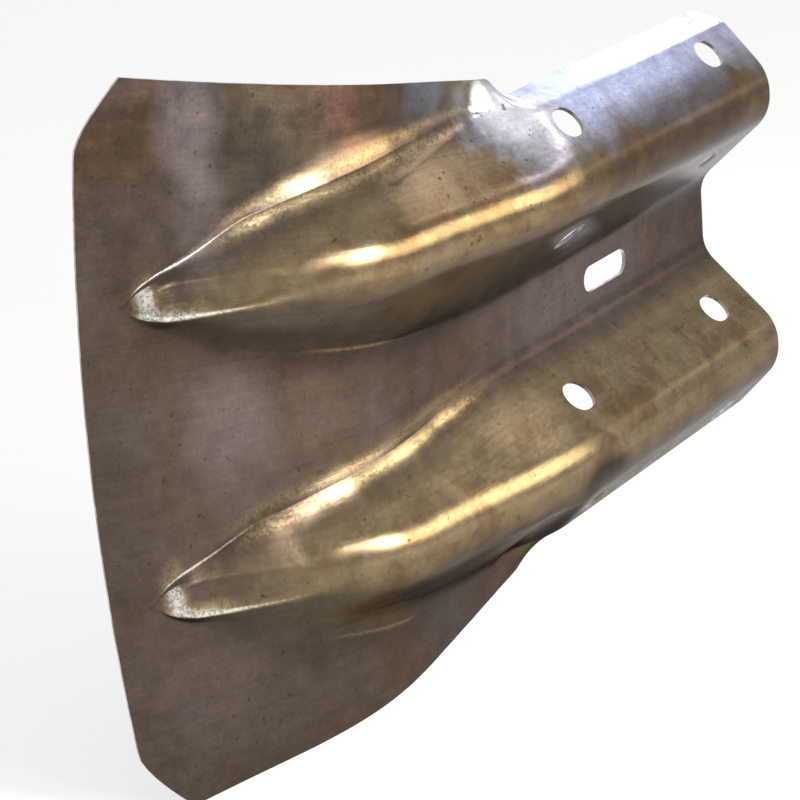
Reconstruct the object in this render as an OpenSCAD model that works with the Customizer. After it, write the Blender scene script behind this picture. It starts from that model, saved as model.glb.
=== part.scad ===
// Flared end section of a two-wave steel guardrail: one pressed, galvanised sheet.
// The lap end (+X) nests over the rail and is bolted to the last post; the other
// end (-X) fades from two waves into a wide plate that curls back from the traffic.
// Origin: centre of the post bolt slot on the back of the valley.
// +X towards the rail, -Y towards the traffic, +Z up.

/* [Sheet] */
// thickness of the galvanised sheet
sheet_t = 2.7; // [2.5:0.1:4]

/* [Rail section] */
// height of a crest over the valley, both mid-sheet
wave_h = 60; // [52:1:70]
// distance from the valley's centre line to a crest
crest_z = 97; // [92:0.5:100]
// distance from the valley's centre line to the bend at the foot of a wave
foot_z = 28; // [22:1:32]
// radius of the bends
bend_r = 33; // [24:1:36]
// distance from the valley's centre line to the fold where the lip begins
fold_z = 148.5; // [144:0.5:150]
// height of that fold over the valley
fold_h = 25; // [18:1:32]
// half width over the lips
lip_z = 156; // [152:0.5:160]

/* [Bolt slots] */
// distance from the lap end to the post bolt slot
post_slot_at = 160; // [150:1:170]
// length of the post bolt slot along the rail
post_slot_len = 64; // [55:1:70]
// width of the post bolt slot
post_slot_w = 19; // [18:0.5:24]
// distance from the lap end to the near column of splice slots
splice_near = 52; // [48:1:56]
// distance from the lap end to the far column of splice slots
splice_far = 268; // [250:1:268]
// distance from a crest to a splice slot, above or below it
splice_off = 39; // [36:0.5:42]
// length of a splice slot along the rail
splice_len = 28.6; // [26:0.1:30]
// width of a splice slot up the flank
splice_w = 23.8; // [20:0.1:26]

/* [Flare] */
// length from the lap end to the middle of the tip edge
total_len = 642; // [630:1:720]
// distance from the lap end at which the plate leaves the lips
spread_at = 300; // [290:1:320]
// distance from the lap end at which the waves have sunk to low ridges
sunk_at = 460; // [400:5:520]
// height of a wave there, both mid-sheet
ridge_h = 38; // [28:1:46]
// distance from the lap end at which the noses of the waves end
nose_at = 616; // [590:1:622]
// height of a nose where its front end begins
nose_h = 8.5; // [5:0.5:14]
// length of that rounded front end
blunt = 22; // [14:1:30]
// half width of the flat top of a nose
nose_top = 10; // [6:0.5:14]
// half width of the plate at the start of its corners
plate_half_w = 237; // [205:1:240]
// how far back from the tip the corners start
corner_back = 37; // [15:1:60]
// how much each corner takes off the half width
corner_in = 42; // [20:1:60]
// how far the middle of the tip edge bulges past the ends of the corners
tip_bow = 9; // [0:1:20]
// distance from the lap end at which the plate starts to curl back
curl_from = 417; // [360:1:460]
// distance from the lap end at which the curl is complete
curl_to = 560; // [520:5:640]
// slope of the finished curl, back over along
curl_slope = 0.65; // [0:0.01:1]

/* [Hidden] */
$fn = 48;
zinc = [0.62, 0.62, 0.6];
bend_steps = 5;
crest_steps = 6;
flare_steps = 28;
front_steps = 6;
tip_steps = 3;
punch_depth = 16;
// lines along the flat of the plate, as shares of the way from the outer foot to the edge
plate_lines = [0.42, 0.68, 0.84, 1];
// a bend takes at most this share of the straights on either side of it, and at least this length
bend_share = 0.42;
least_bend = 0.4;
// two bends that meet in the middle of a crest's top share it almost whole
top_share = 0.47;
// where the waves start to change, and how soon the lip and the outer flank do
fade_from = 285;
lip_fade = 55;
flank_fade = 70;
// the plate starts wider than the lips, past a rounded shoulder
shoulder = 15;
shoulder_len = 28;
// how the plate's edge and the cut of its corners bow
edge_shape = 0.95;
corner_shape = 1.35;
// where the waves start to narrow
narrow_from = spread_at + 25;
// half width of a wave on the plate side before it narrows
plate_side_half = 60;
// how blunt the noses are, on the valley side and on the plate side
inner_shape = [1.7, 0.5];
outer_shape = [2.6, 0.53];
// shares that slimming takes off those half widths, and the stretches it does so over
inner_slim = [0.2, 550, 45];
outer_slim = [0.25, 545, 45];
// how the ridges fall towards the noses
fall_shape = 1.8;
// half width left where a wave has run out
run_out_half = 2;
// where the tops of the noses flatten, over what length, and the least and most that they are
top_from = 500;
top_len = 60;
least_top = 0.5;
top_of_half = 0.6;
// radius of the lip's fold, of the feet of a wave in the flare, and of all bends at the noses
fold_r = 12;
flare_r = 32;
nose_r = 3;
// length over which the feet take up the flare's radius
foot_len = 100;
// where the bends get sharper, and over what length, with the feet following the crests
sharpen_from = 515;
sharpen_len = 70;
foot_lag = 20;

function clamp01(t) = min(1, max(0, t));
function ease(t) = let (c = clamp01(t)) c * c * (3 - 2 * c);
function unit(a) = a / norm(a);

// progress of the ridges from the start of the flare to the nose
function run(x) = clamp01((x - narrow_from) / (nose_at - narrow_from));
// share of its width that a wave keeps
function kept(x, shape, slim) =
    pow(max(0, 1 - pow(run(x), shape[0])), shape[1]) * (1 - slim[0] * ease((x - slim[1]) / slim[2]));
// half widths of a wave, from its crest to its inner and its outer foot
function inner_half(x) = max(run_out_half, (crest_z - foot_z) * kept(x, inner_shape, inner_slim));
function outer_half(x) =
    let (out = plate_side_half * kept(x, outer_shape, outer_slim), f = ease((x - fade_from) / flank_fade))
    max(run_out_half, (fold_z - crest_z) * (1 - f) + out * f);
// height of the crest
function crest_h(x) =
    let (
        f = ease((x - fade_from) / (sunk_at - fade_from)),
        down = pow(clamp01((x - sunk_at) / (nose_at - blunt - sunk_at)), fall_shape),
        front = clamp01((x - nose_at + blunt) / blunt)
    )
    wave_h * (1 - f) + (ridge_h + (nose_h - ridge_h) * down) * sqrt(1 - front * front) * f;
// half width of a crest's top, just filled on the rail by two arcs that meet in its middle
function top_half(x) =
    let (b = inner_half(x), h = crest_h(x), u = h / (b + sqrt(max(0, b * b + h * (h - 2 * bend_r)))))
    min(max(bend_r * u, nose_top * ease((x - top_from) / top_len) + least_top), top_of_half * b);
// bend radii: the die's own, nearly sharp at the noses
function near_nose(x) = 1 - ease((x - sharpen_from) / sharpen_len);
function crest_r(x) = nose_r + (bend_r - nose_r) * near_nose(x);
function foot_r(x, on_lap) =
    let (wide = on_lap + (flare_r - on_lap) * ease((x - narrow_from) / foot_len))
    nose_r + (wide - nose_r) * near_nose(x - foot_lag);
// half width of the sheet
function edge_z(x) =
    let (
        t = clamp01((x - spread_at) / (total_len - spread_at)),
        start = lip_z + shoulder * ease((x - fade_from) / shoulder_len)
    )
    start + (plate_half_w - start) * pow(t, edge_shape);
// height of the outer foot: a raised fold on the lap, down on the plate in the flare
function outer_foot_h(x) = fold_h * (1 - ease((x - fade_from) / lip_fade));

// turn from one straight to the next: points with their normals, as [z, h, nz, nh]
function turn(P, Q, R, r, n, before = bend_share, after = bend_share) =
    let (
        a = unit(P - Q), b = unit(R - Q),
        half = acos(max(-1, min(1, -(a * b)))) / 2,
        T = min(max(least_bend, r * tan(half)), before * norm(P - Q), after * norm(R - Q)),
        A = Q + a * T, B = Q + b * T, w = cos(half)
    )
    [for (i = [0:n])
        let (
            t = i / n, u = 1 - t,
            N = u * u * A + 2 * t * u * w * Q + t * t * B, D = u * u + 2 * t * u * w + t * t,
            dN = -2 * u * A + 2 * (u - t) * w * Q + 2 * t * B, dD = -2 * u + 2 * (u - t) * w + 2 * t,
            p = N / D, d = unit(dN * D - N * dD)
        )
        [p[0], p[1], -d[1], d[0]]];

// upper half of the section, from the valley's centre line to the edge
function half_section(x) =
    let (
        O = [0, 0], foot = [crest_z - inner_half(x), 0], h = crest_h(x),
        left = [crest_z - top_half(x), h], right = [crest_z + top_half(x), h],
        out = [crest_z + outer_half(x), outer_foot_h(x)], edge = [edge_z(x), 0],
        r = crest_r(x), e = unit(edge - out)
    )
    concat(
        [[0, 0, 0, 1]],
        turn(O, foot, left, foot_r(x, bend_r), bend_steps),
        turn(foot, left, right, r, crest_steps, after = top_share),
        [[crest_z, h, 0, 1]],
        turn(left, right, out, r, crest_steps, before = top_share),
        turn(right, out, edge, foot_r(x, fold_r), bend_steps),
        [for (s = plate_lines) let (p = out + (edge - out) * s) [p[0], p[1], -e[1], e[0]]]
    );

// whole section, bottom edge to top edge
function section(x) =
    let (h = half_section(x), n = len(h))
    concat([for (k = [n - 1:-1:1]) [-h[k][0], h[k][1], -h[k][2], h[k][3]]], h);

// how far the plate has curled back
function curl(x) =
    let (w = curl_to - curl_from, t = clamp01((x - curl_from) / w))
    curl_slope * (w * (pow(t, 3) - pow(t, 4) / 2) + max(0, x - curl_to));
function curl_angle(x) = atan(curl_slope * ease((x - curl_from) / (curl_to - curl_from)));
// where the sheet ends, as a distance from the lap end
function tip_at(z) =
    let (a = abs(z), in = plate_half_w - corner_in, k = clamp01((a - in) / corner_in))
    total_len - tip_bow * pow(min(a, in) / in, 2) - (corner_back - tip_bow) * pow(k, corner_shape);
function along(x, z) =
    x <= curl_from ? x : curl_from + (x - curl_from) * (tip_at(z) - curl_from) / (total_len - curl_from);

// one point of the front (side 1) or back (side -1) of the sheet
function skin(x, q, side) =
    let (xa = along(x, q[0]), g = curl_angle(xa), o = side * sheet_t / 2)
    [post_slot_at - xa - o * q[3] * sin(g),
     -(q[1] - curl(xa) + o * q[3] * cos(g)) - sheet_t / 2,
     q[0] + o * q[2]];

// sections lie closer together round the front ends of the noses
front_at = nose_at - blunt;
stations = concat(
    [0, 140],
    [for (i = [0:flare_steps]) fade_from + (front_at - fade_from) * i / flare_steps],
    [for (i = [1:front_steps]) front_at + blunt * sin(90 * i / front_steps)],
    [for (i = [1:tip_steps]) nose_at + (total_len - nose_at) * i / tip_steps]
);

// the whole sheet as one closed skin
module sheet() {
    sections = [for (x = stations) section(x)];
    m = len(stations);
    n = len(sections[0]);
    front = [for (i = [0:m - 1]) for (k = [0:n - 1]) skin(stations[i], sections[i][k], 1)];
    back = [for (i = [0:m - 1]) for (k = [0:n - 1]) skin(stations[i], sections[i][k], -1)];
    b = m * n;
    faces = concat(
        [for (i = [0:m - 2]) for (k = [0:n - 2])
            each let (a = i * n + k) [[a, a + n, a + n + 1], [a, a + n + 1, a + 1]]],
        [for (i = [0:m - 2]) for (k = [0:n - 2])
            each let (a = b + i * n + k) [[a, a + n + 1, a + n], [a, a + 1, a + n + 1]]],
        [for (k = [0:n - 2])
            each [[k, k + 1, b + k + 1], [k, b + k + 1, b + k]]],
        [for (k = [0:n - 2])
            each let (a = (m - 1) * n + k) [[a, b + a + 1, a + 1], [a, b + a, b + a + 1]]],
        [for (i = [0:m - 2])
            each let (a = i * n) [[a, b + a, b + a + n], [a, b + a + n, a + n]]],
        [for (i = [0:m - 2])
            each let (a = i * n + n - 1) [[a, b + a + n, b + a], [a, a + n, b + a + n]]]
    );
    polyhedron(points = concat(front, back), faces = faces, convexity = 12);
}

// a round-ended punch of the given length along X, cutting along Y
module punch(length, width) {
    for (s = [-1, 1])
        translate([s * (length - width) / 2, 0, 0])
            rotate([90, 0, 0])
                cylinder(d = width, h = punch_depth, center = true);
    cube([length - width, punch_depth, width], center = true);
}

// punch square to a flank, at a distance from the lap end and a height
module flank_punch(x, z) {
    inner = abs(z) < crest_z;
    foot = inner ? [foot_z, 0] : [fold_z, fold_h];
    across = abs(crest_z - foot[0]) - top_half(0);
    rise = wave_h - foot[1];
    h = foot[1] + abs(abs(z) - foot[0]) * rise / across;
    tilt = atan(rise / across) * (inner ? 1 : -1) * (z > 0 ? 1 : -1);
    translate([post_slot_at - x, -h - sheet_t / 2, z])
        rotate([tilt, 0, 0])
            punch(splice_len, splice_w);
}

module terminal_plate() {
    color(zinc)
        difference() {
            sheet();
            translate([0, -sheet_t / 2, 0])
                punch(post_slot_len, post_slot_w);
            for (x = [splice_near, splice_far])
                for (s = [-1, 1])
                    for (o = [-splice_off, splice_off])
                        flank_punch(x, s * (crest_z + o));
        }
}

terminal_plate();
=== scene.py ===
# %% [markdown]
# # The flared end section of a steel guardrail
#
# A highway guardrail with two waves ends in this piece: one sheet of steel, pressed to the
# rail's own two-wave section at the lap end and opened into a wide plate at the other, then
# dipped in zinc. The whole part is one surface, so the lesson is about two things: how to write
# a pressed sheet as a function of two parameters, and how to make worn zinc look like metal.

# %% Load the frame
import math

import bpy
import numpy as np
from mathutils import Matrix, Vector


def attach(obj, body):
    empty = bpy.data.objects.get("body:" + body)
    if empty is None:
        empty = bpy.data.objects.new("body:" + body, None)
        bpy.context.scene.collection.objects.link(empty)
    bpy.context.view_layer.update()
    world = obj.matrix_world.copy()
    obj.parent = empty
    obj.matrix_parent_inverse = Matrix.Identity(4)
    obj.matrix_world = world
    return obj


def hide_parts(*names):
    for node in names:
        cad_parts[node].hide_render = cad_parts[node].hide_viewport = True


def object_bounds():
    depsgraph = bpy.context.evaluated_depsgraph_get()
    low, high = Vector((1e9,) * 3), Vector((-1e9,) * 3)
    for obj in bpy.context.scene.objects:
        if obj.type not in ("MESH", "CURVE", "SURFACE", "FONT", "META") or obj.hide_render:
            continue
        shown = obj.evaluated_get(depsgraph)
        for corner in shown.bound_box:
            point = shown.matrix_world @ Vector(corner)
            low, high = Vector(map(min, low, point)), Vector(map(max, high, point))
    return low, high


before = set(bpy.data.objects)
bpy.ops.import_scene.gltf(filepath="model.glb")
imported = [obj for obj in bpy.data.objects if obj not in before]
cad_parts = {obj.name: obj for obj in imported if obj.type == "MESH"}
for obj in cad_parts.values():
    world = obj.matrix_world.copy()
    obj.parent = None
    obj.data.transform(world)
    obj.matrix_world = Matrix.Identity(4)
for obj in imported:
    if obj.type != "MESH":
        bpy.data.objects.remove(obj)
cad_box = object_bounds()
MM = 0.001
print("solid box in mm", np.round(np.array(cad_box) / MM, 1).tolist())

# %% [markdown]
# The section comes first. On the real press it is set by a few die dimensions: how far the
# crests stand from the centre line, how high they are, how tight the bends are. The same
# handful of numbers drives everything below, in millimetres, measured from the lap end (x, the
# stations), from the valley's centre line (z) and up from the valley towards the traffic (h).

# %% Die dimensions
SHEET = 2.7
# A wave on the lap: its height, its crest and inner foot, its bends, and the fold and the lip.
WAVE_H, CREST_Z, FOOT_Z = 60.0, 97.0, 28.0
BEND_R, FOLD_R = 33.0, 12.0
FOLD_Z, FOLD_H, LIP_Z = 148.5, 25.0, 156.0
# Stations: the tip, and where waves start to sink, plate to widen, waves to narrow and run low.
TOTAL, FADE_FROM, SPREAD_AT, NARROW_FROM, SUNK_AT = 642.0, 285.0, 300.0, 325.0, 460.0
# The low ridge and the nose that it ends in, then the bends of the flare and of the nose.
RIDGE_H, NOSE_H, NOSE_AT, BLUNT = 38.0, 8.5, 616.0, 22.0
FLARE_R, NOSE_R, NOSE_TOP, LEAN = 75.0, 3.0, 10.0, 0.40
# The plate: its half width, its shoulder at the lap, its cut corners and the bow of its tip.
PLATE_Z, SHOULDER, CORNER_BACK, CORNER_IN, TIP_BOW = 236.95, 15.0, 37.0, 42.0, 9.0
SHOULDER_OVER, EDGE_CURVE, CORNER_CURVE = 28.0, 0.95, 1.35
CURL_FROM, CURL_TO, CURL_SLOPE = 417.0, 560.0, 0.65


def ease(t):
    """Smoothstep: 0 below 0, 1 above 1, flat at both ends."""
    c = np.clip(t, 0, 1)
    return c * c * (3 - 2 * c)


print("sheet", SHEET, "mm thick,", TOTAL, "mm long")

# %% [markdown]
# Along the flare each wave gets lower and narrower until it runs out in a blunt nose. Its
# height, its two half widths and the width of the plate are each a curve in x alone, so the
# shape can be tuned one curve at a time. The curves' own numbers are stations and lengths in
# millimetres, or powers that set how soon a curve falls.

# %% How wide the waves are along the flare
THINNEST = 2.0
INNER_CURVE, INNER_SLIM, INNER_SLIM_FROM = 1.7, 0.20, 550.0
OUTER_FLARE, OUTER_CURVE, OUTER_ROUND, OUTER_EASE = 60.0, 2.6, 0.53, 70.0
OUTER_SLIM, OUTER_SLIM_FROM, SLIM_OVER = 0.25, 545.0, 45.0


def nose_run(x):
    """0 where the waves start to narrow, 1 at the tip of the noses."""
    return np.clip((x - NARROW_FROM) / (NOSE_AT - NARROW_FROM), 0, 1)


def inner_half(x):
    """Half width of a wave on the valley side: the square root of what is left of the run,
    so that it closes in a blunt nose, and a fifth less close to the nose."""
    slim = 1 - INNER_SLIM * ease((x - INNER_SLIM_FROM) / SLIM_OVER)
    run = (1 - nose_run(x) ** INNER_CURVE) ** 0.5
    return np.maximum(THINNEST, (CREST_Z - FOOT_Z) * run * slim)


def outer_half(x):
    """Half width on the plate side: the lip's fold on the lap, easing to a fuller curve that
    closes in the same nose."""
    slim = 1 - OUTER_SLIM * ease((x - OUTER_SLIM_FROM) / SLIM_OVER)
    out = OUTER_FLARE * (1 - nose_run(x) ** OUTER_CURVE) ** OUTER_ROUND * slim
    f = ease((x - FADE_FROM) / OUTER_EASE)
    return np.maximum(THINNEST, (FOLD_Z - CREST_Z) * (1 - f) + out * f)


def edge_z(x):
    """Half width of the sheet: the lips, a rounded shoulder, then a nearly straight line to
    the plate's full width."""
    t = np.clip((x - SPREAD_AT) / (TOTAL - SPREAD_AT), 0, 1)
    start = LIP_Z + SHOULDER * ease((x - FADE_FROM) / SHOULDER_OVER)
    return start + (PLATE_Z - start) * t**EDGE_CURVE


print("a wave on the lap is", FOLD_Z - FOOT_Z, "mm wide, foot to fold")

# %% How high the crests are, and how tight the bends
SINK_CURVE = 1.8
SHARP_FROM, SHARP_OVER, FOOT_LATER, WIDE_BENDS_OVER = 515.0, 70.0, 20.0, 100.0
TOP_FROM, TOP_OVER, TOP_SHARE, FLAT_TOP = 500.0, 60.0, 0.6, 0.5


def crest_h(x):
    """Crest height: the full wave, easing to a low ridge that falls slowly and then faster,
    and ends in a quarter ellipse."""
    f = ease((x - FADE_FROM) / (SUNK_AT - FADE_FROM))
    down = np.clip((x - SUNK_AT) / (NOSE_AT - BLUNT - SUNK_AT), 0, 1) ** SINK_CURVE
    front = np.clip((x - NOSE_AT + BLUNT) / BLUNT, 0, 1)
    ridge = (RIDGE_H + (NOSE_H - RIDGE_H) * down) * np.sqrt(1 - front**2)
    return WAVE_H * (1 - f) + ridge * f


def near_nose(x):
    """1 along the rail and most of the flare, falling to 0 towards the noses."""
    return 1 - ease((x - SHARP_FROM) / SHARP_OVER)


def crest_r(x):
    """Bend radius of a crest: the die's own, nearly sharp on the two edges of a nose's top."""
    return NOSE_R + (BEND_R - NOSE_R) * near_nose(x)


def top_half(x):
    """Half width of a crest's top. On the rail two arcs just fill it and meet in the middle:
    u is the tangent of half the flank's angle, which gives each arc's share. The nose's top
    is wider, and keeps to its share of the wave."""
    b, h = inner_half(x), crest_h(x)
    u = h / (b + np.sqrt(np.maximum(0, b * b + h * (h - 2 * BEND_R))))
    nose_top = NOSE_TOP * ease((x - TOP_FROM) / TOP_OVER) + FLAT_TOP
    return np.minimum(np.maximum(crest_r(x) * u, nose_top), TOP_SHARE * b)


def foot_r(x, on_lap):
    """Bend radius of a foot: tight on the lap, wide in the flare, nearly sharp at the nose."""
    wide = on_lap + (FLARE_R - on_lap) * ease((x - NARROW_FROM) / WIDE_BENDS_OVER)
    return NOSE_R + (wide - NOSE_R) * near_nose(x - FOOT_LATER)


for x in (0, 300, 400, 500, 600):
    xs = np.array([float(x)])
    print(f"x {x}: crest {crest_h(xs)[0]:.0f}, half width {edge_z(xs)[0]:.0f} mm")

# %% [markdown]
# A section is a chain of straights joined by round bends. A bend could be a spline, but a real
# press bend is an arc, and a highlight running along it shows the difference. A conic with the
# right middle weight is an exact arc, and it is worked out for all stations at once.

# %% Bends and straights
SHORTEST, SHARE = 0.4, 0.42


def turn(P, Q, R, r, t, before=SHARE, after=SHARE):
    """Arc of radius r that leaves PQ and joins QR: a conic weighted by cos of half the turn.

    It takes at most a given share of each straight; t are the points' places along it."""
    a, b = P - Q, R - Q
    la, lb = np.linalg.norm(a, axis=1), np.linalg.norm(b, axis=1)
    a, b = a / la[:, None], b / lb[:, None]
    half = np.arccos(np.clip(-(a * b).sum(1), -1, 1)) / 2
    T = np.maximum(SHORTEST, r * np.tan(half))
    T = np.minimum(T, np.minimum(before * la, after * lb))
    t, w = t[None, :, None], np.cos(half)[:, None, None]
    A, B, M = (Q + a * T[:, None])[:, None], (Q + b * T[:, None])[:, None], Q[:, None]
    top = (1 - t) ** 2 * A + 2 * t * (1 - t) * w * M + t**2 * B
    return top / ((1 - t) ** 2 + 2 * t * (1 - t) * w + t**2)


def straight(A, B, fractions):
    """Points on the line from A to B at the given fractions."""
    f = np.asarray(fractions)[None, :, None]
    return A[:, None] * (1 - f) + B[:, None] * f


def steps(*marks):
    """Values through (value, count) marks, evenly spaced between each pair."""
    out = [np.array([float(marks[0][0])])]
    for (a, _), (b, n) in zip(marks[:-1], marks[1:]):
        out.append(np.linspace(a, b, n + 1)[1:])
    return np.concatenate(out)


# %% [markdown]
# The grid lines are not even. They crowd into the middle of each foot, where the edge of the
# die has scored a fine crease, and a few of them are laid exactly where the edge of a slot's
# patch will be, so that the slots can be let into the same mesh.

# %% Where the grid lines run
FOOT_LINES, CREST_LINES, PLATE_LINES = 13, 10, 21
FOOT_CROWDING, PLATE_CROWDING = 1.9, 1.2
FROM_MIDDLE = np.linspace(-1, 1, FOOT_LINES)
FOOT_T = 0.5 + 0.5 * np.sign(FROM_MIDDLE) * np.abs(FROM_MIDDLE) ** FOOT_CROWDING
CREST_T = np.linspace(0, 1, CREST_LINES)
VALLEY = steps((0, 0), (0.8, 4), (1, 1))
PLATE = 1 - (1 - np.linspace(0, 1, PLATE_LINES)) ** PLATE_CROWDING
print("lines across a foot, nearest together in the middle:", np.round(FOOT_T, 2).tolist())

# %% [markdown]
# At one station the half section is seven stretches: valley, foot, flank, crest, flank, foot
# and plate. The middles of a slot's patch sit at a set distance either side of the crest.

# %% The half section
SPLICE_Z, PATCH_HALF = 39.0, 14.0
TOP_ARC_SHARE, FOLD_FADES_OVER = 0.47, 55.0


def section_parts(x, inner=(0, 1), outer=(0, 1), upper=0):
    """Stretches of a half section at each x, centre line to edge, as (z, h) points.

    The side of a nose's top that faces up leans back into the plate, and its edge is round:
    the outer side (upper is 1) in one half of the sheet, the inner one (-1) in the other."""
    zero = np.zeros_like(x)
    pair = lambda z, h: np.stack([z, h], 1)
    centre, foot = pair(zero, zero), pair(CREST_Z - inner_half(x), zero)
    lean = LEAN * (1 - near_nose(x)) * abs(upper)
    crest, wide = crest_h(x), top_half(x)
    left, top, right = (pair(CREST_Z + k * wide, crest * (1 - lean * (1 + k * upper) / 2))
                        for k in (-1, 0, 1))
    round_r = np.maximum(crest_r(x), NOSE_TOP)
    left_r, right_r = (round_r if k == upper else crest_r(x) for k in (-1, 1))
    fold = FOLD_H * (1 - ease((x - FADE_FROM) / FOLD_FADES_OVER))
    out = pair(CREST_Z + outer_half(x), fold)
    edge = pair(edge_z(x), zero)
    foot_arc = turn(centre, foot, left, foot_r(x, BEND_R), FOOT_T)
    up_arc = turn(foot, left, right, left_r, CREST_T, after=TOP_ARC_SHARE)
    down_arc = turn(left, right, out, right_r, CREST_T, before=TOP_ARC_SHARE)
    crest_arc = np.concatenate([up_arc, top[:, None], down_arc], 1)
    out_arc = turn(right, out, edge, foot_r(x, FOLD_R), FOOT_T)
    return [straight(centre, foot_arc[:, 0], VALLEY)[:, :-1], foot_arc,
            straight(foot_arc[:, -1], crest_arc[:, 0], inner)[:, 1:-1], crest_arc,
            straight(crest_arc[:, -1], out_arc[:, 0], outer)[:, 1:-1], out_arc,
            straight(out_arc[:, -1], edge, PLATE)[:, 1:]]


def patch_lines(before, after, at, counts):
    """Fractions along a flank whose second and third marks are the edges of a slot's patch."""
    length = np.linalg.norm(after - before)
    middle = (at - before[0]) / (after[0] - before[0])
    half = PATCH_HALF / length
    return steps((0, 0), (middle - half, counts[0]), (middle + half, counts[1]), (1, counts[2]))


_, foot_arc, _, crest_arc, _, out_arc, _ = section_parts(np.zeros(1))
FLANK_COUNTS = ((4, 8, 3), (3, 8, 1))
INNER_FLANK = patch_lines(foot_arc[0, -1], crest_arc[0, 0], CREST_Z - SPLICE_Z, FLANK_COUNTS[0])
OUTER_FLANK = patch_lines(crest_arc[0, -1], out_arc[0, 0], CREST_Z + SPLICE_Z, FLANK_COUNTS[1])
starts = np.cumsum([0] + [p.shape[1] for p in section_parts(np.zeros(1), INNER_FLANK, OUTER_FLANK)])
print("grid lines in half a section:", starts[-1])

# %% [markdown]
# The tip edge isn't straight: it bulges a little in the middle and its two corners are cut off
# and rounded. Rather than trim the sheet afterwards, the stations themselves are drawn in
# towards the tip, which keeps every quad whole. The curl then bends the plate back from the
# traffic, so that nothing catches on it.

# %% Tip outline and curl
POST_SLOT_AT = 160.0


def tip_at(z):
    """Where the sheet ends: a shallow bulge, then a rounded cut at each corner."""
    a, flat = np.abs(z), PLATE_Z - CORNER_IN
    k = np.clip((a - flat) / CORNER_IN, 0, 1)
    bow = TIP_BOW * (np.minimum(a, flat) / flat) ** 2
    return TOTAL - bow - (CORNER_BACK - TIP_BOW) * k**CORNER_CURVE


def along(x, z):
    """Station x drawn in so that the last one lies on the tip's outline."""
    s = (tip_at(z) - CURL_FROM) / (TOTAL - CURL_FROM)
    return np.where(x <= CURL_FROM, x, CURL_FROM + (x - CURL_FROM) * s)


def curl(x):
    """How far back the plate has gone: a slope that eases in from CURL_FROM to CURL_TO."""
    w = CURL_TO - CURL_FROM
    t = np.clip((x - CURL_FROM) / w, 0, 1)
    return CURL_SLOPE * (w * (t**3 - t**4 / 2) + np.maximum(0, x - CURL_TO))


def place(x, z, h):
    """From die coordinates to the part's frame, in metres; the valley's back is at Y = 0."""
    xa = along(x, z)
    return np.stack([POST_SLOT_AT - xa, curl(xa) - h - SHEET / 2, z], -1) * MM


# %% [markdown]
# Stations: on the lap some fall on the ends of the slots' patches, and along the flare they
# are even. Then the whole middle surface is one array of points.

# %% Stations and the grid of points
# Slots: the splice slots' stations, each kind's length and width, and the margin of a patch.
SPLICE_AT = (52.0, 268.0)
SPLICE, POST = (28.6, 23.8), (64.0, 19.0)
MARGIN = 2.7
near, far = ((a - SPLICE[0] / 2 - MARGIN, a + SPLICE[0] / 2 + MARGIN) for a in SPLICE_AT)
mid = (POST_SLOT_AT - POST[0] / 2 - MARGIN, POST_SLOT_AT + POST[0] / 2 + MARGIN)
X = steps((0, 0), (near[0], 8), (near[1], 10), (mid[0], 10), (mid[1], 20), (far[0], 10),
          (far[1], 10), (TOTAL, 118))
low_half, high_half = (np.concatenate(section_parts(X, INNER_FLANK, OUTER_FLANK, upper), axis=1)
                       for upper in (-1, 1))
full = np.concatenate([low_half[:, :0:-1] * (-1, 1), high_half], axis=1)
rows, cols = full.shape[:2]
centre = cols // 2
grid = place(X[:, None] + 0 * full[..., 0], full[..., 0], full[..., 1])
print("grid", rows, "stations by", cols, "lines")

# %% [markdown]
# Wear, drawing marks and the painted highlights and shade follow the metal, not the room, so the
# surface carries its own measures. The first two are how high a spot has been pressed, and its
# place on the strip as it was before pressing, which is the length measured along the section.
# Four grid lines run along the middles of the feet, and most wear, painted highlight and painted
# shade is placed by its distance from one of them.

# %% Height, place on the strip, and the feet
rise = full[..., 1] / WAVE_H
leg = np.linalg.norm(np.diff(full, axis=1), axis=2)
width_at = np.concatenate([np.zeros((rows, 1)), np.cumsum(leg, axis=1)], axis=1)
strip_v = (width_at - width_at[:, centre:centre + 1]) * MM
strip_u = (X[:, None] + 0 * strip_v) * MM
MIDDLE_LINE = FOOT_LINES // 2
INNER_FOOT, OUTER_FOOT = starts[1] + MIDDLE_LINE, starts[5] + MIDDLE_LINE
FEET = (centre - INNER_FOOT, centre + INNER_FOOT, centre - OUTER_FOOT, centre + OUTER_FOOT)
UPPER_FEET, LOWER_FEET = (FEET[3], FEET[0]), (FEET[1], FEET[2])
LOWER_SHOULDERS = (centre + starts[3] + 5, centre - starts[4] + 6)


def below(line):
    """How far each point lies below a grid line, in mm along the sheet."""
    return width_at[:, line:line + 1] - width_at


def bell(distance, middle, half):
    """Bell curve across a line: 1 at its middle, about a third at one half width."""
    return np.exp(-((distance - middle) / half) ** 2)


def stretch_of(first, ease_in, last, ease_out):
    """1 along a stretch of the sheet, easing in from one station and out from another."""
    return (ease((X - first) / ease_in) * (1 - ease((X - last) / ease_out)))[:, None]


print("widest developed section", round(float(np.ptp(strip_v, axis=1).max() / MM)), "mm")

# %% [markdown]
# Painted highlights, partly on rubbed zinc. On the noses they lie on the lower shoulder, the
# upper foot and the blunt front, where handling also polishes what stands out. Along the flare a
# soft painted highlight lies just above each upper foot, a fainter one just below it, and a
# painted hairline highlight on each lower foot.

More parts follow.
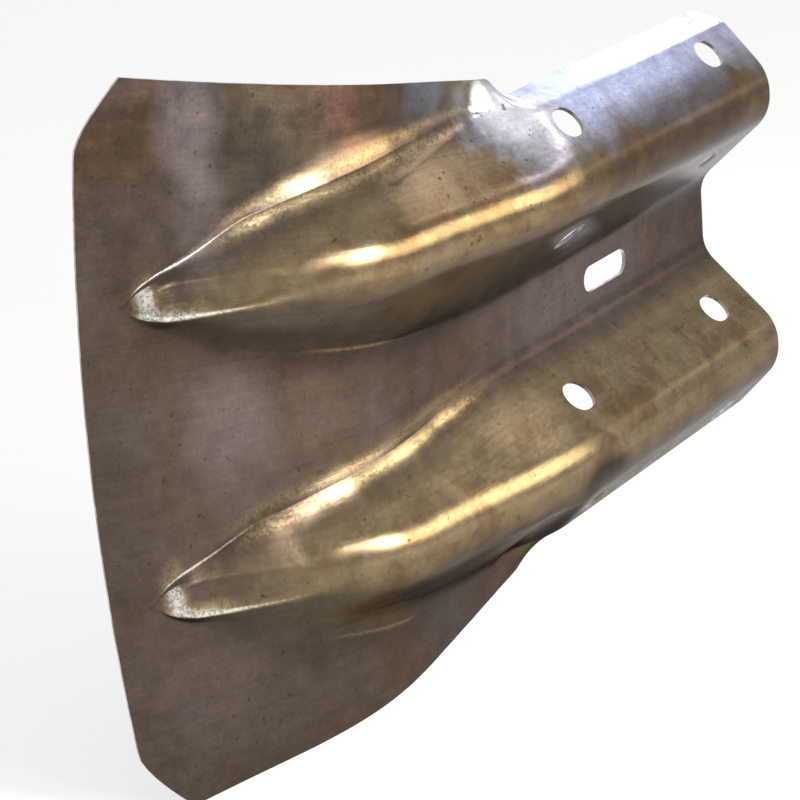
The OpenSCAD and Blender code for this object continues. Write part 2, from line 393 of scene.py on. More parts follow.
# %% Where wear and painted highlights lie
# A rim is its lines and half width; a band is how far up the flank, half width and strength.
# A stretch is its first station, what it eases in over, its last, and what it eases out over.
RIM_HALVES = ((LOWER_SHOULDERS, 1.9), (UPPER_FEET, 0.9))
RIM_SLIM_FROM, RIM_SLIM_OVER = 570, 30
FRONT_AT, FRONT_OVER, FRONT_RUB_AND_HIGHLIGHT = 601, 7, 0.9
BANDS = ((5.5, 3.5, 0.40), (-6.0, 4.0, 0.20))
HAIRLINE_HALF, HAIRLINE_HIGHLIGHT = 0.9, 0.22
NOSES, FLARE, BEFORE_NOSES = (530, 60, NOSE_AT - 8, 8), (330, 60, 545, 35), (445, 20, 500, 25)

rim = np.zeros_like(rise)
slimmer = (0.5 + 0.5 * ease((X - RIM_SLIM_FROM) / RIM_SLIM_OVER))[:, None]
for lines, half in RIM_HALVES:
    for line in lines:
        rim = np.maximum(rim, bell(below(line), 0, half * slimmer))
on_top = np.zeros(starts[-1])
on_top[starts[3] - 2:starts[4] + 2] = 1
front = np.concatenate([on_top[:0:-1], on_top]) * ease((X - FRONT_AT) / FRONT_OVER)[:, None]
# painted highlights on the noses' rims and fronts, partly rubbed bare zinc
rub_and_highlight = np.maximum(rim, FRONT_RUB_AND_HIGHLIGHT * front) * stretch_of(*NOSES)
for line in UPPER_FEET:
    for up_flank, half, strength in BANDS:
        band = strength * stretch_of(*FLARE) * bell(below(line), up_flank, half)
        rub_and_highlight = np.maximum(rub_and_highlight, band)
for line in LOWER_FEET:
    hairline = bell(below(line), 0, HAIRLINE_HALF)
    rub_and_highlight = np.maximum(rub_and_highlight, HAIRLINE_HIGHLIGHT * stretch_of(*BEFORE_NOSES) * hairline)
print("rubbed by more than a third:", round(100 * float((rub_and_highlight > 1 / 3).mean()), 1), "%")

# %% [markdown]
# What faces down is given painted shade, so its measure is the slope of the section. Near the
# noses a gentler slope is enough. Below the lower feet painted shade also lies on the plate, a
# good deal under the upper wave and a little under the lower one.

# %% Painted shade on what faces down, and under the waves
FULL_SLOPE, GENTLER, GENTLER_FROM, GENTLER_OVER = 1.1, 0.55, 480, 60
# A band of painted shade below a lower foot is its line, its strength, its first station and how
# far above the line it starts.
SHADES_BELOW_WAVES = ((LOWER_FEET[0], 1.0, 330, 12), (LOWER_FEET[1], 0.5, 400, 3))
SHADE_BELOW_LENGTH, SHADE_BELOW_EDGE, HIGHER_FROM, HIGHER_OVER = 22, 14, 440, 80
SHADE_BELOW_IN, SHADE_BELOW_LAST, SHADE_BELOW_OUT = 80, 600, 25

slope = np.gradient(full[..., 1], axis=1) / np.maximum(np.gradient(full[..., 0], axis=1), 0.05)
enough = FULL_SLOPE - GENTLER * ease((X - GENTLER_FROM) / GENTLER_OVER)[:, None]
under = np.clip(slope / enough, 0, 1)
# painted shade on the plate below each lower foot, reaching a little up the flank
shade_below_waves = np.zeros_like(under)
for line, strength, first, up in SHADES_BELOW_WAVES:
    higher = (up + up * ease((X - HIGHER_FROM) / HIGHER_OVER))[:, None]
    run = bell(np.maximum(0, below(line)), 0, SHADE_BELOW_LENGTH) * ease((below(line) + higher) / SHADE_BELOW_EDGE)
    shade_below_waves = np.maximum(shade_below_waves, strength * run * stretch_of(first, SHADE_BELOW_IN, SHADE_BELOW_LAST, SHADE_BELOW_OUT))
print("sheltered:", round(100 * float((under > 0.5).mean())), "%")

# %% [markdown]
# The edge of the die scores a fine crease along each foot in the flare. It is a quarter of a
# millimetre deep, and it splits every highlight that crosses the foot into two lines.

# %% Creases along the feet
CREASE, CREASE_HALF = 0.24, 1.2
SCORED_FROM, EASE_IN, SCORED_TO, EASE_OUT = 380, 60, 545, 35
score = CREASE * ease((X - SCORED_FROM) / EASE_IN) * (1 - ease((X - SCORED_TO) / EASE_OUT))
for middle in FEET:
    grid[..., 1] += score[:, None] * bell(below(middle), 0, CREASE_HALF) * MM
print("creases", CREASE, "mm deep along", int((score > 0).sum()), "stations")

# %% [markdown]
# A slot could be cut with a boolean, but that leaves slivers which catch the light on bright
# metal. Instead a rectangular patch of the grid is lifted out and filled with rings of quads
# that run from the patch's edge in to the slot's round-ended outline.

# %% Letting a slot into the grid
RINGS, RING_CROWDING = 4, 1.3


def patch_loop(r0, r1, c0, c1):
    """Row and column of each point around a patch, in order, once."""
    top = [(r0, c) for c in range(c0, c1)]
    right = [(r, c1) for r in range(r0, r1)]
    bottom = [(r1, c) for c in range(c1, c0, -1)]
    left = [(r, c0) for r in range(r1, r0, -1)]
    return np.array(top + right + bottom + left)


def slot_rings(r0, r1, c0, c1, size):
    """Rings from a patch's edge in to a slot, as places in the patch, and the edge's loop.

    A point of the edge looks at the nearest point q of the slot's core line; the outline is
    half a slot width from q towards it, and the rings divide the way between. Places are
    given in millimetres along the rail (a) and up the flank (b) from the slot's middle."""
    loop = patch_loop(r0, r1, c0, c1)
    a = X[loop[:, 0]] - (X[r0] + X[r1]) / 2
    v = strip_v[0] / MM
    b = v[loop[:, 1]] - (v[c0] + v[c1]) / 2
    reach, half_w = (size[0] - size[1]) / 2, size[1] / 2
    qa = np.clip(a, -reach, reach)
    d = np.stack([a - qa, b], 1)
    d = d / np.linalg.norm(d, axis=1, keepdims=True)
    t = (np.arange(1, RINGS + 1) / RINGS)[:, None]
    t = 1 - (1 - t) ** RING_CROWDING
    return a + (qa + half_w * d[:, 0] - a) * t, b + (half_w * d[:, 1] - b) * t, loop


def row_of(x):
    """The row of the grid nearest to station x."""
    return int(np.abs(X - x).argmin())


patches = [(row_of(mid[0]), row_of(mid[1]), centre - 4, centre + 4, POST)]
for x0, x1 in (near, far):
    for part, counts in ((2, FLANK_COUNTS[0]), (4, FLANK_COUNTS[1])):
        first = starts[part] - 1 + counts[0]
        last = first + counts[1]
        patches.append((row_of(x0), row_of(x1), centre + first, centre + last, SPLICE))
        patches.append((row_of(x0), row_of(x1), centre - last, centre - first, SPLICE))
print(len(patches), "slots let in")

# %% [markdown]
# Now the mesh: the grid's quads with the patches left out, then each slot's rings stitched to
# its patch edge. A patch is flat, so the rings' places and their measures come from its
# corners. Points that no quad uses any more are dropped.

# %% One mesh from the grid and the rings
keep = np.ones((rows - 1, cols - 1), bool)
measures = np.stack([rise, rub_and_highlight, under, shade_below_waves, strip_u, strip_v], -1)
points, carried = [grid.reshape(-1, 3)], [measures.reshape(-1, 6)]
quads = []
count = rows * cols
for r0, r1, c0, c1, size in patches:
    keep[r0:r1, c0:c1] = False
    a, b, loop = slot_rings(r0, r1, c0, c1, size)
    corner = lambda source: (source[r0, c0], source[r1, c0], source[r0, c1])
    fa = 0.5 + a / (X[r1] - X[r0])
    fb = 0.5 + b / ((strip_v[0, c1] - strip_v[0, c0]) / MM)
    for source, made in ((grid, points), (measures, carried)):
        o, along_x, up_z = corner(source)
        made.append((o + fa[..., None] * (along_x - o) + fb[..., None] * (up_z - o))
                    .reshape(-1, source.shape[-1]))
    n = len(loop)
    outer = loop[:, 0] * cols + loop[:, 1]
    index = np.vstack([outer, count + np.arange(a.size).reshape(-1, n)])
    nxt = np.roll(index, -1, axis=1)
    quads.append(np.stack([index[:-1], nxt[:-1], nxt[1:], index[1:]], -1).reshape(-1, 4))
    count += a.size
r, c = np.nonzero(keep)
a = r * cols + c
quads.append(np.stack([a, a + 1, a + cols + 1, a + cols], 1))
points, carried, quads = (np.concatenate(v) for v in (points, carried, quads))
used, quads = np.unique(quads, return_inverse=True)
points, carried, quads = points[used], carried[used], quads.reshape(-1, 4)
print(len(points), "points,", len(quads), "quads")

# %% [markdown]
# Real pressed sheet is never quite true. It has gentle waves from the press and a few knocks
# from handling. They are a fraction of a millimetre to a millimetre deep, yet on metal they
# break every highlight, so they belong in the shape and not only in the finish.

# %% Press waves and knocks
rng = np.random.default_rng(7)


def waves(p, lengths, depth):
    """Sum of sines in random directions: each has a wavelength in mm and a share of depth."""
    out = np.zeros(len(p))
    for length in lengths:
        k = rng.normal(size=3)
        k = k / np.linalg.norm(k) * 2 * math.pi / (length * MM)
        out += np.sin(p @ k + rng.uniform(0, 2 * math.pi))
    return out * depth * MM / len(lengths)


def knock(p, x, z, radius, depth):
    """Round dent: depth times a bell curve of the distance from (x, z)."""
    d2 = ((p[:, 0] - x * MM) ** 2 + (p[:, 2] - z * MM) ** 2) / (radius * MM) ** 2
    return depth * MM * np.exp(-d2)


x_mm = POST_SLOT_AT - points[:, 0] / MM
flare_only = ease((x_mm - FADE_FROM - 20) / 60) * (1 - ease((x_mm - TOTAL + 60) / 60))
LONG_WAVES, LONG_DEPTH = (70, 95, 140, 190, 260), 0.45
SHORT_WAVES, SHORT_DEPTH = (24, 31, 42), 0.10
push = waves(points, LONG_WAVES, LONG_DEPTH) * flare_only
push += waves(points, SHORT_WAVES, SHORT_DEPTH) * flare_only
KNOCKS = ((-250, -30, 16, 0.7), (-330, -60, 22, -0.6), (-300, 190, 26, 0.6),
          (-180, -150, 14, 0.7), (-390, 10, 18, 0.5), (-355, 178, 20, -0.5))
for x, z, radius, depth in KNOCKS:
    push += knock(points, x, z, radius, depth)
points[:, 1] += push
print("press waves in mm:", np.round([push.min() / MM, push.max() / MM], 2).tolist())

# %% [markdown]
# The middle surface becomes a sheet with Solidify, which moves it half a thickness each way
# along its own normal, just as rolled sheet keeps its thickness round a bend. Bevel then rounds
# the sheared edges, which the zinc bath leaves softened. The surface's own measures are stored
# as attributes, so both modifiers carry them on to the skin. Solidify also gives the back and
# the cut edges their own places in the list of finishes.

# %% The sheet as an object
mesh = bpy.data.meshes.new("terminal_plate_sheet")
mesh.from_pydata(points.tolist(), [], quads.tolist())
mesh.update()
mesh.shade_smooth()
for name, values in zip(("rise", "rub_and_highlight", "under", "shade_below_waves"), carried.T):
    mesh.attributes.new(name, "FLOAT", "POINT").data.foreach_set("value", values)
strip = np.column_stack([carried[:, 4], carried[:, 5], 0 * carried[:, 5]])
mesh.attributes.new("strip", "FLOAT_VECTOR", "POINT").data.foreach_set("vector", strip.ravel())
sheet = bpy.data.objects.new("terminal_plate_sheet", mesh)
bpy.context.scene.collection.objects.link(sheet)

solid = sheet.modifiers.new("thickness", "SOLIDIFY")
solid.thickness = SHEET * MM
solid.offset = 0
FRONT_FINISH, CUT_FINISH, BACK_FINISH = 0, 1, 2
solid.material_offset = BACK_FINISH - FRONT_FINISH
solid.material_offset_rim = CUT_FINISH - FRONT_FINISH
soft = sheet.modifiers.new("sheared_edges", "BEVEL")
EDGE_SOFTNESS, SHARP = 0.6 * MM, math.radians(60)
soft.width = EDGE_SOFTNESS
soft.segments = 2
soft.limit_method = "ANGLE"
soft.angle_limit = SHARP
soft.harden_normals = True

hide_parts("terminal_plate")
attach(sheet, "root")
print("sheet", len(mesh.vertices), "points before its thickness")

# %% [markdown]
# Zinc on steel is not one colour. The bath leaves clouds, and storage leaves brown and olive
# stains. Over these lie painted light and shade: a warm reflection makes the pressed waves
# brighter and yellower than the flat plate, shade darkens what faces down and the plate under the
# waves, and highlights lie on the noses and feet, where the noses are also rubbed bare. A few
# small helpers keep the node trees readable.

# %% Helpers for materials


def node(tree, kind, **values):
    """New node with some of its sockets or settings given by name."""
    n = tree.nodes.new(kind)
    for key, value in values.items():
        if key in n.inputs:
            n.inputs[key].default_value = value
        else:
            setattr(n, key, value)
    return n


def noise(tree, coords, scale, detail=4.0, rough=0.55, distort=0.0):
    """Cloud noise, about 0.3 to 0.7, at a number of clouds to the metre."""
    n = node(tree, "ShaderNodeTexNoise", Scale=scale, Detail=detail, Roughness=rough,
             Distortion=distort)
    tree.links.new(coords, n.inputs["Vector"])
    return n.outputs["Fac"]


def span(tree, value, lo, hi, to_lo=0.0, to_hi=1.0):
    """A value's range lo to hi stretched, with its ends held, to another range."""
    n = tree.nodes.new("ShaderNodeMapRange")
    for name, v in (("From Min", lo), ("From Max", hi), ("To Min", to_lo), ("To Max", to_hi)):
        n.inputs[name].default_value = v
    tree.links.new(value, n.inputs["Value"])
    return n.outputs["Result"]


print("clouds run from about 0.3 to 0.7, and span() stretches them to what is needed")

# %% [markdown]
# Every layer of the finish is then one of three things: a sum of amounts, a colour turned
# towards another by an amount, or a soft patch at a place on the part.

# %% Sums, mixes and patches


def maths(tree, operation, a, b):
    """One Math node; each side is a number or a socket."""
    n = tree.nodes.new("ShaderNodeMath")
    n.operation = operation
    for value, socket in ((a, n.inputs[0]), (b, n.inputs[1])):
        if isinstance(value, (int, float)):
            socket.default_value = value
        else:
            tree.links.new(value, socket)
    return n.outputs[0]


def mix(tree, amount, a, b, blend="MIX"):
    """Colour a turned towards colour b by an amount; each is a colour or a socket."""
    n = tree.nodes.new("ShaderNodeMix")
    n.data_type, n.blend_type = "RGBA", blend
    for value, socket in ((amount, n.inputs[0]), (a, n.inputs[6]), (b, n.inputs[7])):
        if isinstance(value, tuple):
            socket.default_value = (*value, 1)
        elif isinstance(value, float):
            socket.default_value = value
        else:
            tree.links.new(value, socket)
    return n.outputs[2]


def patch(tree, coords, rough_edge, centre, size):
    """1 inside a soft ellipsoid on the part, 0 outside; its edge is broken up by a noise."""
    m = tree.nodes.new("ShaderNodeMapping")
    m.inputs["Location"].default_value = [-c / s for c, s in zip(centre, size)]
    m.inputs["Scale"].default_value = [1 / s for s in size]
    tree.links.new(coords, m.inputs["Vector"])
    length = tree.nodes.new("ShaderNodeVectorMath")
    length.operation = "LENGTH"
    tree.links.new(m.outputs[0], length.inputs[0])
    ragged = span(tree, rough_edge, 0.3, 0.7, -0.35, 0.35)
    return span(tree, maths(tree, "ADD", length.outputs["Value"], ragged), 1.15, 0.45)


def times(tree, a, b):
    """Two amounts multiplied."""
    return maths(tree, "MULTIPLY", a, b)


print("sums, mixes and patches ready")

# %% [markdown]
# The base colours are mixed in layers: the zinc, then the painted warm reflection on the waves,
# then stains and painted reflections, painted shade, and wear with painted highlights. A metal's
# base colour is what it mirrors straight on, so stained zinc is dark and only the bare and
# painted bright spots are pale.

# %% Colours of the zinc
TAUPE, BROWN, GREY = (0.080, 0.060, 0.048), (0.084, 0.057, 0.038), (0.090, 0.075, 0.070)
GOLD, OLIVE, LILAC = (0.212, 0.165, 0.095), (0.062, 0.052, 0.038), (0.160, 0.132, 0.138)
RED, BLUE, SILVER = (0.165, 0.080, 0.078), (0.165, 0.175, 0.215), (0.480, 0.530, 0.750)
BARE_AND_HIGHLIGHT, SOOT_AND_SHADE, SHADE = (0.850, 0.800, 0.720), (0.040, 0.028, 0.020), (0.070, 0.056, 0.042)
WHITE, DARK, RUST = (0.780, 0.780, 0.860), (0.055, 0.042, 0.034), (0.120, 0.070, 0.036)
BRASS = (0.640, 0.490, 0.250)
print("plate", TAUPE, "waves", GOLD, "bare metal", BARE_AND_HIGHLIGHT)

# %% [markdown]
# The shader reads the place on the part, the measures that ride on the surface, and six cloud
# noises from the size of a hand down to a grain. Patterns in three dimensions don't slide or
# stretch where the sheet is bent, as a flat pattern would.

# %% The zinc's shader and what it reads
zinc = bpy.data.materials.new("galvanised_zinc")
zinc.use_nodes = True
t = zinc.node_tree
t.nodes.clear()
out = t.nodes.new("ShaderNodeOutputMaterial")
metal = t.nodes.new("ShaderNodeBsdfPrincipled")
metal.inputs["Specular IOR Level"].default_value = 0.25
t.links.new(metal.outputs[0], out.inputs["Surface"])
here = t.nodes.new("ShaderNodeTexCoord").outputs["Object"]


def ridden(name, output="Fac"):
    """One of the measures that the surface carries."""
    return node(t, "ShaderNodeAttribute", attribute_name=name).outputs[output]


rise_at, rub_and_highlight_at, under_at, shade_below_waves_at = (ridden(k) for k in ("rise", "rub_and_highlight", "under", "shade_below_waves"))
clouds = noise(t, here, 8.0, 5.0, 0.58, 0.5)
second = noise(t, here, 15.0, 4.0, 0.55, 0.3)
bloom = noise(t, here, 30.0, 6.0, 0.65, 0.4)
mottle = noise(t, here, 52.0, 5.0, 0.68)
fine = noise(t, here, 420.0, 3.0, 0.7)
grain = noise(t, here, 1500.0, 2.0, 0.7)
print("patterns from", 1000 / 8, "mm down to", round(1000 / 1500, 1), "mm")

# %% [markdown]
# Clouds of two browns with greyer patches make the plate. The waves carry a painted warm
# reflection, yellower the higher they are pressed, with rusty flecks on them.

# %% Plain zinc, and a painted warm reflection on the waves
colour = mix(t, span(t, clouds, 0.38, 0.60), BROWN, TAUPE)
colour = mix(t, span(t, second, 0.48, 0.66, 0, 0.45), colour, GREY)
# painted warm reflection: the higher a spot is pressed, the yellower
colour = mix(t, span(t, rise_at, 0.06, 0.34, 0, 0.78), colour, GOLD)
flecks = times(t, span(t, bloom, 0.46, 0.60), span(t, rise_at, 0.25, 0.55, 0, 0.60))
colour = mix(t, flecks, colour, RUST)
print("plain zinc mixed with", len(t.nodes), "nodes")

# %% [markdown]
# Stains lie where they lie on the real piece: an olive patch and a reddish one on the plate over
# the upper wave, and brown smears on the waves. Painted reflections lie among them: a bluish one
# by the neck, lilac bands down the curl, a bluish white sheen over cleaner zinc on the top of the
# lap, and a white one by the neck. A lighter lilac patch lies in the valley and the tip's edge is
# darker. Each is a soft ellipsoid: its colour, its strength, its middle and its three half sizes
# in metres.

# %% Stains and painted reflections
STAINS = (
    (OLIVE, 0.75, (-0.375, 0.03, 0.178), (0.050, 0.08, 0.060)),
    (RED, 0.38, (-0.318, 0.0, 0.205), (0.022, 0.06, 0.050)),
    # painted reflection: bluish by the neck
    (BLUE, 0.70, (-0.225, 0.0, 0.185), (0.036, 0.05, 0.030)),
    (GOLD, 0.80, (-0.180, 0.0, 0.170), (0.030, 0.05, 0.030)),
    # painted reflections: lilac bands down the curl, this line and the next
    (LILAC, 0.75, (-0.411, 0.05, 0.190), (0.019, 0.09, 0.085)),
    (LILAC, 0.45, (-0.404, 0.05, 0.005), (0.030, 0.09, 0.060)),
    # cleaner zinc on the top of the lap, with a painted bluish white sheen
    (SILVER, 1.00, (0.010, -0.02, 0.150), (0.210, 0.070, 0.044)),
    # painted highlight: white by the neck
    (WHITE, 0.90, (-0.140, -0.02, 0.152), (0.042, 0.06, 0.028)),
    (BROWN, 0.80, (0.030, -0.055, 0.104), (0.170, 0.040, 0.034)),
    (SOOT_AND_SHADE, 0.85, (-0.124, -0.058, -0.107), (0.036, 0.03, 0.017)),
    # darker along the tip's edge
    (DARK, 0.50, (-0.475, 0.09, -0.010), (0.042, 0.06, 0.100)),
    # painted reflection: the lilac band's faint lower end on the curl
    (LILAC, 0.25, (-0.430, 0.06, -0.150), (0.050, 0.09, 0.060)),
    (SOOT_AND_SHADE, 0.25, (-0.455, 0.08, 0.125), (0.018, 0.05, 0.030)),
    # a lighter lilac patch along the valley
    (LILAC, 0.40, (-0.040, 0.00, 0.000), (0.130, 0.03, 0.040)),
)
for stain, strength, middle, half_sizes in STAINS:
    amount = times(t, patch(t, here, second, middle, half_sizes), strength)
    colour = mix(t, amount, colour, stain)
print(len(STAINS), "stains")

# %% [markdown]
# Painted shade darkens what faces down, and there the surface is also made less metallic. Below
# the waves the painted shade is darker and the metal keeps its gloss. On the lowest flank the
# metal keeps its gloss but is given painted shade at a low angle, where it mirrors little, which
# is what Specular Tint sets on a metal.

# %% Painted shade
SHADE_AMOUNT, SHADE_BELOW_DARK = 0.86, 0.75
METAL, SHADED_METAL = 0.94, 0.62
LOW_ANGLE, SHADED_LOW_ANGLE = (0.50, 0.51, 0.56), (0.17, 0.13, 0.07)
LOW_SHADE_TOP, LOW_SHADE_FULL = -0.100, -0.125

# painted shade on what faces down
painted_shade = span(t, under_at, 0.15, 0.80, 0, SHADE_AMOUNT)
painted_shade.node.name = "painted_shade"
colour = mix(t, painted_shade, colour, SHADE)
# painted shade below the waves
colour = mix(t, times(t, shade_below_waves_at, SHADE_BELOW_DARK), colour, SOOT_AND_SHADE)
split = t.nodes.new("ShaderNodeSeparateXYZ")
t.links.new(here, split.inputs[0])
# painted shade at a low angle on the lowest flank, darker towards the bottom
low_flank_shade = times(t, painted_shade, span(t, split.outputs["Z"], LOW_SHADE_TOP, LOW_SHADE_FULL))
glossy = maths(t, "MAXIMUM", shade_below_waves_at, low_flank_shade)
dull = times(t, painted_shade, maths(t, "SUBTRACT", 1.0, glossy))
t.links.new(span(t, dull, 0, SHADE_AMOUNT, METAL, SHADED_METAL), metal.inputs["Metallic"])
t.links.new(mix(t, low_flank_shade, LOW_ANGLE, SHADED_LOW_ANGLE), metal.inputs["Specular Tint"])
print("metallic from", SHADED_METAL, "to", METAL)

# %% [markdown]
# Every tone above is even. Three patterns make it lighter and darker: a mottle, the drawing
# lines that run along the strip, and a fine one. Pits are dark points.

# %% Mottle, drawing lines and pits
PIT_DARK = 0.7
along_strip = t.nodes.new("ShaderNodeMapping")
along_strip.inputs["Scale"].default_value = (5.0, 260.0, 1.0)
t.links.new(ridden("strip", "Vector"), along_strip.inputs["Vector"])
drawn = noise(t, along_strip.outputs[0], 1.0, 3.0, 0.6)
pits = span(t, noise(t, here, 190.0, 2.0, 0.5), 0.68, 0.74)
TONES = ((mottle, 0.34, 0.66, 0.84, 1.14), (drawn, 0.3, 0.7, 0.93, 1.07),
         (fine, 0.3, 0.7, 0.88, 1.10))
for pattern, lo, hi, darker, lighter in TONES:
    level = span(t, pattern, lo, hi, darker, lighter)
    tone = node(t, "ShaderNodeCombineColor")
    for channel in tone.inputs:
        t.links.new(level, channel)
    colour = mix(t, 1.0, colour, tone.outputs[0], "MULTIPLY")
colour = mix(t, times(t, pits, PIT_DARK), colour, SOOT_AND_SHADE)
print(len(TONES), "patterns of tone")

# %% [markdown]
# Wear and painted highlights come last. Lightly marked spots are brassy and strongly marked ones
# pale: bare zinc on the noses, and painted highlight there and along the feet. Both come in specks
# and not evenly. These spots are also a little smoother.

# %% Wear with painted highlights, gloss and bump
RUB_AND_HIGHLIGHT_SHARE, RUB_AND_HIGHLIGHT_SMOOTHS = 0.9, 0.05
SMOOTHEST, ROUGHEST = 0.16, 0.25
BUMP, BUMP_DEPTH = 0.38, 0.0003

specks = maths(t, "ADD", times(t, fine, 0.7), times(t, mottle, 0.5))
speckled = times(t, rub_and_highlight_at, span(t, specks, 0.53, 0.62, 0.45, 1.0))
bare_and_highlight = mix(t, span(t, rub_and_highlight_at, 0.36, 0.52), BRASS, BARE_AND_HIGHLIGHT)
# painted highlights, and bare zinc on the noses, go on in specks
colour = mix(t, times(t, speckled, RUB_AND_HIGHLIGHT_SHARE), colour, bare_and_highlight)
t.links.new(colour, metal.inputs["Base Color"])

gloss = span(t, mottle, 0.3, 0.7, SMOOTHEST, ROUGHEST)
gloss = maths(t, "SUBTRACT", gloss, times(t, rub_and_highlight_at, RUB_AND_HIGHLIGHT_SMOOTHS))
t.links.new(gloss, metal.inputs["Roughness"])

height = maths(t, "ADD", times(t, grain, 0.5), times(t, drawn, 0.6))
height = maths(t, "SUBTRACT", height, times(t, pits, 0.3))
bump = node(t, "ShaderNodeBump", Strength=BUMP, Distance=BUMP_DEPTH)
t.links.new(height, bump.inputs["Height"])
t.links.new(bump.outputs[0], metal.inputs["Normal"])
sheet.data.materials.append(zinc)
print("finish nodes:", len(t.nodes))

# %% [markdown]
# The shear leaves brighter metal along the edges and in the slots.

# %% Cut edges
EDGE_DULL, EDGE_BRIGHT = (0.30, 0.27, 0.25), (0.62, 0.60, 0.66)
cut = bpy.data.materials.new("sheared_zinc")
cut.use_nodes = True
t = cut.node_tree
edge = t.nodes["Principled BSDF"]
edge.inputs["Metallic"].default_value = 0.9
edge.inputs["Roughness"].default_value = 0.35
edge_place = t.nodes.new("ShaderNodeTexCoord").outputs["Object"]
patchy = span(t, noise(t, edge_place, 70.0, 3.0, 0.6), 0.42, 0.60)
t.links.new(mix(t, patchy, EDGE_DULL, EDGE_BRIGHT), edge.inputs["Base Color"])
sheet.data.materials.append(cut)
print("cut edges finished")

# %% [markdown]
# The back of the sheet has the same zinc, but much less painted shade on what faces down.
# Solidify gives the back its own place in the list of materials, so a copy of the zinc with less
# of it goes there.

# %% The back of the sheet
BACK_SHADE = 0.25
back = zinc.copy()
back.name = "galvanised_zinc_back"
back.node_tree.nodes["painted_shade"].inputs["To Max"].default_value = BACK_SHADE
sheet.data.materials.append(back)
print("finishes:", [m.name for m in sheet.data.materials])

# %% [markdown]
# The stage is a plain pale floor far wider than the part, under a white sky. Metal shows what
# is round it more than its own colour, so the sky that it mirrors is the white one that the
# camera sees, while the light that the sky throws on the scene is kept low enough for the
# lamps to shape the waves.

# %% Floor and sky


def seen_rays(tree):
    """1 for camera, glossy and transmission rays, 0 for light bounced off something dull."""
    path = tree.nodes.new("ShaderNodeLightPath")
    a = node(tree, "ShaderNodeMath", operation="MAXIMUM")
    b = node(tree, "ShaderNodeMath", operation="MAXIMUM")
    tree.links.new(path.outputs["Is Camera Ray"], a.inputs[0])
    tree.links.new(path.outputs["Is Glossy Ray"], a.inputs[1])
    tree.links.new(a.outputs[0], b.inputs[0])
    tree.links.new(path.outputs["Is Transmission Ray"], b.inputs[1])
    return b.outputs[0]


FLOOR_HALF = 30.0
FLOOR_TONE, FLOOR_GLOW = (0.60, 0.60, 0.605, 1), 0.58
SKY_LIGHT, SKY_SEEN = 0.55, 1.0
low = cad_box[0][2]
floor_mesh = bpy.data.meshes.new("floor")
corners = [(x * FLOOR_HALF, y * FLOOR_HALF, low) for x, y in ((-1, -1), (1, -1), (1, 1), (-1, 1))]
floor_mesh.from_pydata(corners, [], [(0, 1, 2, 3)])
floor = bpy.data.objects.new("floor", floor_mesh)
bpy.context.scene.collection.objects.link(floor)

pale = bpy.data.materials.new("pale_floor")
pale.use_nodes = True
t = pale.node_tree
matt = t.nodes["Principled BSDF"]
matt.inputs["Base Color"].default_value = FLOOR_TONE
matt.inputs["Roughness"].default_value = 1.0
matt.inputs["Specular IOR Level"].default_value = 0.0
matt.inputs["Emission Color"].default_value = (1, 1, 1, 1)
t.links.new(span(t, seen_rays(t), 0, 1, 0, FLOOR_GLOW), matt.inputs["Emission Strength"])
floor_mesh.materials.append(pale)

world = bpy.data.worlds.new("white_sky")
bpy.context.scene.world = world
world.use_nodes = True
t = world.node_tree
sky = t.nodes["Background"]
sky.inputs["Color"].default_value = (1, 1, 1, 1)
t.links.new(span(t, seen_rays(t), 0, 1, SKY_LIGHT, SKY_SEEN), sky.inputs["Strength"])
print("floor at", round(low, 3), "m")

# %% [markdown]
# The camera stands on the tip's side, a little above, and leans by a few degrees, as one held
# in the hand does. It looks along a compass direction and an elevation, and then rolls.

# %% Camera
AIM, DISTANCE = np.array([-0.2100, 0.0459, -0.0364]), 2.022
HEADING, DOWN, ROLL = (math.radians(v) for v in (57.335, 18.245, 4.432))
SENSOR_MM, LENS_MM = 36, 134.65


def direction(azimuth, elevation):
    """Unit vector: azimuth 0 is the traffic side (-Y), 90 the rail's side (+X)."""
    a, e = math.radians(azimuth), math.radians(elevation)
    return np.array([math.sin(a) * math.cos(e), -math.cos(a) * math.cos(e), math.sin(e)])


def matrix(x, y, z, at):
    """Placement whose columns are three axes and a position."""
    m = Matrix.Identity(4)
    for i in range(3):
        m[i][0], m[i][1], m[i][2], m[i][3] = x[i], y[i], z[i], at[i]
    return m


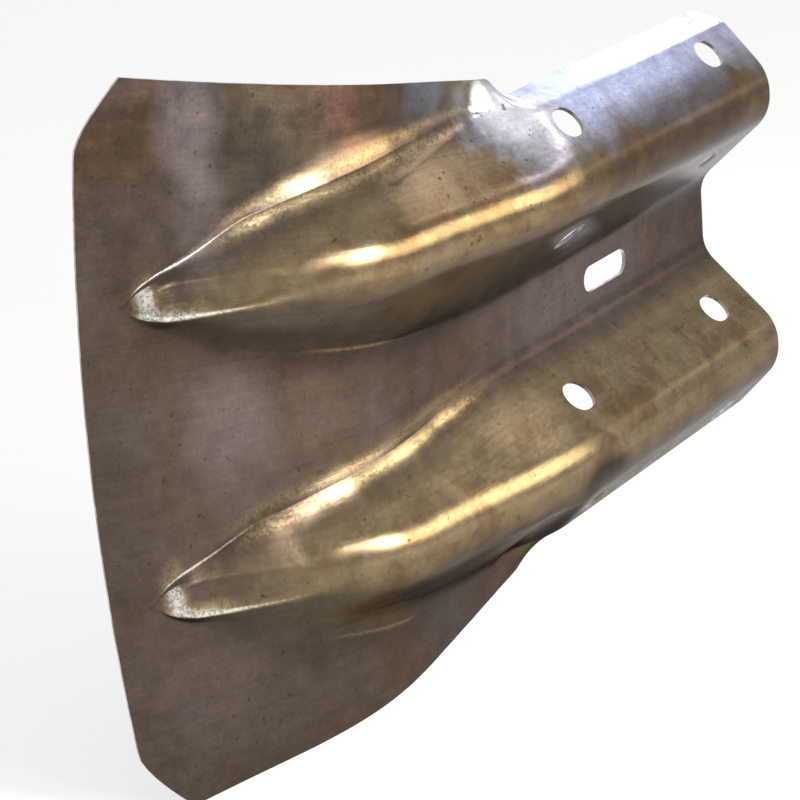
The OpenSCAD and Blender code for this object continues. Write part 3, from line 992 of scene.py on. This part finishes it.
ahead = np.array([math.sin(HEADING) * math.cos(DOWN), math.cos(HEADING) * math.cos(DOWN),
                  -math.sin(DOWN)])
level = np.array([math.cos(HEADING), -math.sin(HEADING), 0.0])
upright = np.cross(level, ahead)
right = level * math.cos(ROLL) - upright * math.sin(ROLL)
up = upright * math.cos(ROLL) + level * math.sin(ROLL)
lens = bpy.data.cameras.new("camera")
lens.sensor_width, lens.lens = SENSOR_MM, LENS_MM
cam = bpy.data.objects.new("camera", lens)
cam.matrix_world = matrix(right, up, -ahead, AIM - ahead * DISTANCE)
bpy.context.scene.collection.objects.link(cam)
bpy.context.scene.camera = cam
print("camera", np.round(AIM - ahead * DISTANCE, 3).tolist())

# %% [markdown]
# Pressed metal is drawn by the lamps that it mirrors. Each panel here is placed by the
# direction in which one feature mirrors it: the key lights the upper feet in the flare, the
# gold band the crests, the far band and the glint the lap's flanks and crests, the nose light
# the noses, and the window the lap's lip.

# %% Lamps
MIDDLE = np.array([-0.16, 0.0, 0.0])


def panel(name, azimuth, elevation, distance, width, height, glow, colour):
    """Soft rectangular lamp that faces the part; glow is its brightness, 1 being the sky's."""
    data = bpy.data.lights.new(name, "AREA")
    data.shape, data.size, data.size_y = "RECTANGLE", width, height
    data.energy, data.color = glow * math.pi * width * height, colour
    lamp = bpy.data.objects.new(name, data)
    back = direction(azimuth, elevation)
    side = np.cross((0, 0, 1), back)
    side = side / np.linalg.norm(side)
    lamp.matrix_world = matrix(side, np.cross(back, side), back, MIDDLE + back * distance)
    bpy.context.scene.collection.objects.link(lamp)
    return lamp


# Name, azimuth, elevation, distance, width, height, glow, colour.
LAMPS = (
    ("key", -11, 16, 1.3, 0.28, 0.46, 32.0, (1.0, 0.95, 0.84)),
    ("gold_band", 23, 12, 1.3, 1.12, 0.46, 8.5, (1.0, 0.88, 0.64)),
    ("far_band", 58, 37, 1.3, 0.30, 0.14, 5.0, (0.96, 0.90, 0.90)),
    ("lap_glint", 62, 8, 1.3, 0.16, 0.12, 1.8, (1.0, 0.86, 0.60)),
    ("nose_light", -30, 18, 1.2, 0.20, 0.24, 16.0, (1.0, 0.97, 0.92)),
    ("window", 101, 27, 0.9, 0.30, 0.16, 5.0, (0.86, 0.88, 1.0)),
)
for lamp in LAMPS:
    panel(*lamp)
print(len(LAMPS), "lamps")

# %% How colours are shown
bpy.context.scene.view_settings.view_transform = "Standard"
